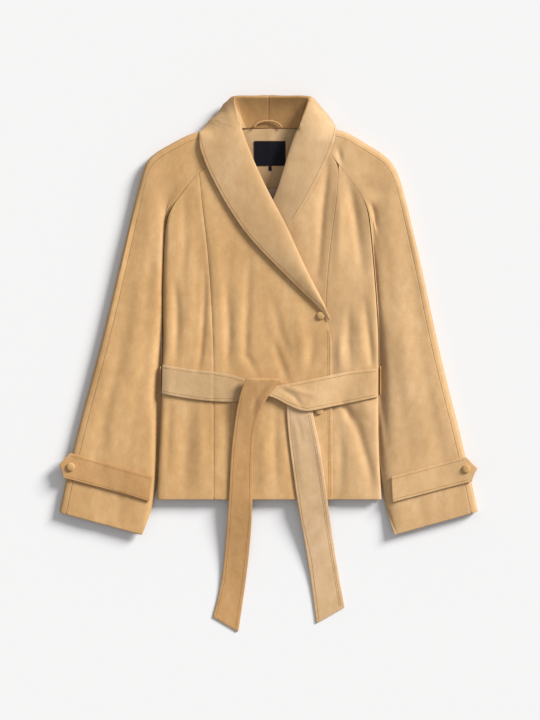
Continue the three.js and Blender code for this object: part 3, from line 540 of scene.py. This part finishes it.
RIGHT_STYLE = ((-134.5, 436), (-132.3, 418.4), (-124.7, 392.4), (-113.9, 366.1), (-96.4, 331.2),
               (-72.5, 289.8), (-44.2, 248.3), (-13.6, 213.8), (33.7, 167.4), (67.7, 133.4),
               (98.5, 105.5), (110, 92))
LEFT_STYLE = ((131, 448), (128, 432.3), (112.8, 390.5), (96, 355), (71, 308.8), (46, 268))
FRONT_EDGE = ((119.5, 66), (120, 56), (120.6, -100), (122, HEM_Y + 2))
STITCHED = (
    # piece the row is sewn to, its edge, how far in to the left of the edge's run
    ("collar_right", RIGHT_STYLE, 6.0),
    ("collar_left", LEFT_STYLE, -5.5),
    ("front_right_centre", FRONT_EDGE, -5.0),
    ("front_right_centre", FRONT_EDGE, -8.0),
    ("belt_run_right", ((-200.4, 0), (-149.8, -8.5), (-102.7, -13.3), (-67.9, -19.6), (-45, -27.5)), -5.5),
    ("belt_run_right", ((-201.9, -54.9), (-165.6, -62.1), (-118.5, -69.4), (-58.6, -70.1)), 5.5),
    ("belt_run_left", ((39.2, -35.9), (89.6, -25.8), (149.4, -13.3), (206, -7)), -5.5),
    ("belt_run_left", ((1.4, -59.1), (36, -76.4), (70.6, -88.9), (117.9, -79.4), (165.2, -70.1),
                       (206.8, -61.6)), 5.5),
    ("belt_end_right", ((-55.4, -60.6), (-63.2, -104.7), (-71.2, -173.9), (-74.2, -236.6),
                        (-77.4, -295.5), (-87.3, -403.8), (-105, -476)), 5.5),
    ("belt_end_right", ((-1.8, -60.6), (-19.1, -95.2), (-27.1, -130), (-30.1, -189.8),
                        (-30.9, -295.5), (-43, -403), (-57, -504)), -5.5),
    ("belt_end_left", ((34.5, -86), (37.5, -136.2), (47, -205.6), (59.6, -295.5), (76.3, -370.3),
                       (90.5, -489)), 5.5),
    ("belt_end_left", ((83.3, -92), (95.9, -148.8), (106.9, -221.4), (116.4, -295.5),
                       (128.7, -370.3), (143.5, -459)), -6.0),
    ("belt_end_left", ((83.3, -92), (95.9, -148.8), (106.9, -221.4), (116.4, -295.5),
                       (128.7, -370.3), (143.5, -459)), -9.0),
    ("strap_right", ((-373.6, -167.4), (-219.2, -211.9)), -5.0),
    ("strap_right", ((-386.4, -214.5), (-225.4, -259)), 5.0),
    ("strap_left", ((231.9, -211.9), (369.8, -174.6)), -5.0),
    ("strap_left", ((234.4, -260.3), (382.6, -221.4)), 5.0),
)


def stitch_places(edge, inset):
    """Middles and directions of stitches in a smooth row beside an edge: the edge is followed by
    equal steps, and each step moved square to it, to the left of its run where inset is positive."""
    line = even_steps(edge, 1.0)
    reach = STITCH_CORNER
    kernel = np.hanning(2 * reach + 1) / np.hanning(2 * reach + 1).sum()
    padded = np.concatenate([2 * line[0] - line[reach:0:-1], line,
                             2 * line[-1] - line[-2:-2 - reach:-1]])
    line = np.stack([np.convolve(padded[:, axis], kernel, "valid") for axis in (0, 1)], 1)
    run = np.gradient(line, axis=0)
    run /= np.linalg.norm(run, axis=1, keepdims=True)
    row = line + inset * np.stack([-run[:, 1], run[:, 0]], 1)
    picked = np.arange(STITCH_PITCH, len(row) - STITCH_PITCH, STITCH_PITCH).astype(int)
    return row[picked], run[picked]


def sew(piece_name, rows):
    """Stitches dropped from above onto a piece: each is a rounded bar that lies along its row and
    on the slope it lands on."""
    cloth_piece = pieces[piece_name]
    surface = BVHTree.FromPolygons(points_of(cloth_piece.data).tolist(),
                                   [tuple(face.vertices) for face in cloth_piece.data.polygons])
    places = [stitch_places(edge, inset) for edge, inset in rows]
    spots, runs = (np.concatenate(part) for part in zip(*places))
    hits = [surface.ray_cast((x * MM, y * MM, 1.0), (0, 0, -1)) for x, y in spots.tolist()]
    landed = [i for i, hit in enumerate(hits) if hit[0] is not None]
    middle = np.array([hits[i][0] for i in landed])
    up = np.array([hits[i][1] for i in landed])
    along = np.concatenate([runs[landed], np.zeros((len(landed), 1))], 1)
    along -= (along * up).sum(1, keepdims=True) * up
    along /= np.linalg.norm(along, axis=1, keepdims=True)
    across = np.cross(up, along)
    rings, turn = np.array(STITCH_RINGS), np.arange(STITCH_SIDES) * 2 * np.pi / STITCH_SIDES
    lengthwise = rings[:, 0, None] * STITCH_LENGTH / 2 * MM * np.ones(STITCH_SIDES)
    sideways = rings[:, 1, None] * STITCH_RADIUS * MM * np.cos(turn)
    upwards = rings[:, 1, None] * STITCH_RADIUS * MM * np.sin(turn)
    points = (middle[:, None, None] + lengthwise[..., None] * along[:, None, None]
              + sideways[..., None] * across[:, None, None] + upwards[..., None] * up[:, None, None])
    here, after = np.arange(STITCH_SIDES), (np.arange(STITCH_SIDES) + 1) % STITCH_SIDES
    rows_of_quads = [np.stack([r * STITCH_SIDES + here, r * STITCH_SIDES + after,
                               (r + 1) * STITCH_SIDES + after, (r + 1) * STITCH_SIDES + here], 1)
                     for r in range(len(rings) - 1)]
    bar = np.concatenate(rows_of_quads)
    per_stitch = len(rings) * STITCH_SIDES
    firsts = (np.arange(len(landed)) * per_stitch)[:, None, None]
    walls = (bar + firsts).reshape(-1, 4)
    ends = (np.stack([here[::-1], here + (len(rings) - 1) * STITCH_SIDES]) + firsts)
    mesh = bpy.data.meshes.new("stitches_" + piece_name)
    mesh.from_pydata(points.reshape(-1, 3).tolist(), [],
                     walls.tolist() + ends.reshape(-1, STITCH_SIDES).tolist())
    mesh.materials.append(thread)
    mesh.shade_smooth()
    stitches = bpy.data.objects.new("stitches_" + piece_name, mesh)
    ALL_PIECES.link(stitches)
    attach(stitches, "root")


for name in dict.fromkeys(row[0] for row in STITCHED):
    sew(name, [(edge, inset) for piece_name, edge, inset in STITCHED if piece_name == name])


# ---- Floor, light and camera ----
# A pale paper floor under one broad lamp, far off and low beyond the wearer's left shoulder, which
# throws the soft shadows, and a white room that fills them.

FLOOR_HALF, FLOOR_Z = 6.0, -0.0003
KEY_FROM, KEY_POWER, KEY_SPREAD = (3.4, 2.6, 1.85), 5.0, math.radians(20)
KEY_COLOUR, ROOM_COLOUR, ROOM_POWER = "#FFFDF9", "#FAF8F6", 0.4
CAMERA_PLACE, LENS_MM, SENSOR_MM = (0.0026, 0.0086, 4.0), 105.3, 36

floor_mesh = bpy.data.meshes.new("floor")
floor_mesh.from_pydata([(x * FLOOR_HALF, y * FLOOR_HALF, FLOOR_Z)
                        for x, y in ((-1, -1), (1, -1), (1, 1), (-1, 1))], [], [(0, 1, 2, 3)])
paper = bpy.data.materials.new("matt paper")
paper.use_nodes = True
paper_shader = paper.node_tree.nodes["Principled BSDF"]
for socket, value in (("Base Color", linear("#F5F6F9")), ("Roughness", 0.95),
                      ("Specular IOR Level", 0.0)):
    paper_shader.inputs[socket].default_value = value
floor_mesh.materials.append(paper)
floor = bpy.data.objects.new("floor", floor_mesh)
ALL_PIECES.link(floor)

key_data = bpy.data.lights.new("key lamp", "SUN")
key_data.energy, key_data.angle = KEY_POWER, KEY_SPREAD
key_data.color = linear(KEY_COLOUR)[:3]
key = bpy.data.objects.new("key lamp", key_data)
key.location = KEY_FROM
key.rotation_euler = (math.atan2(math.hypot(KEY_FROM[0], KEY_FROM[1]), KEY_FROM[2]), 0,
                      math.atan2(KEY_FROM[1], KEY_FROM[0]) + math.pi / 2)
ALL_PIECES.link(key)

world = bpy.data.worlds.new("white room")
world.use_nodes = True
world.node_tree.nodes["Background"].inputs["Color"].default_value = linear(ROOM_COLOUR)
world.node_tree.nodes["Background"].inputs["Strength"].default_value = ROOM_POWER
bpy.context.scene.world = world

camera_data = bpy.data.cameras.new("camera")
camera_data.lens = LENS_MM
camera_data.sensor_fit = "VERTICAL"
camera_data.sensor_height = SENSOR_MM
camera = bpy.data.objects.new("camera", camera_data)
camera.location = CAMERA_PLACE
ALL_PIECES.link(camera)
bpy.context.scene.camera = camera
bpy.context.scene.view_settings.view_transform = "Standard"
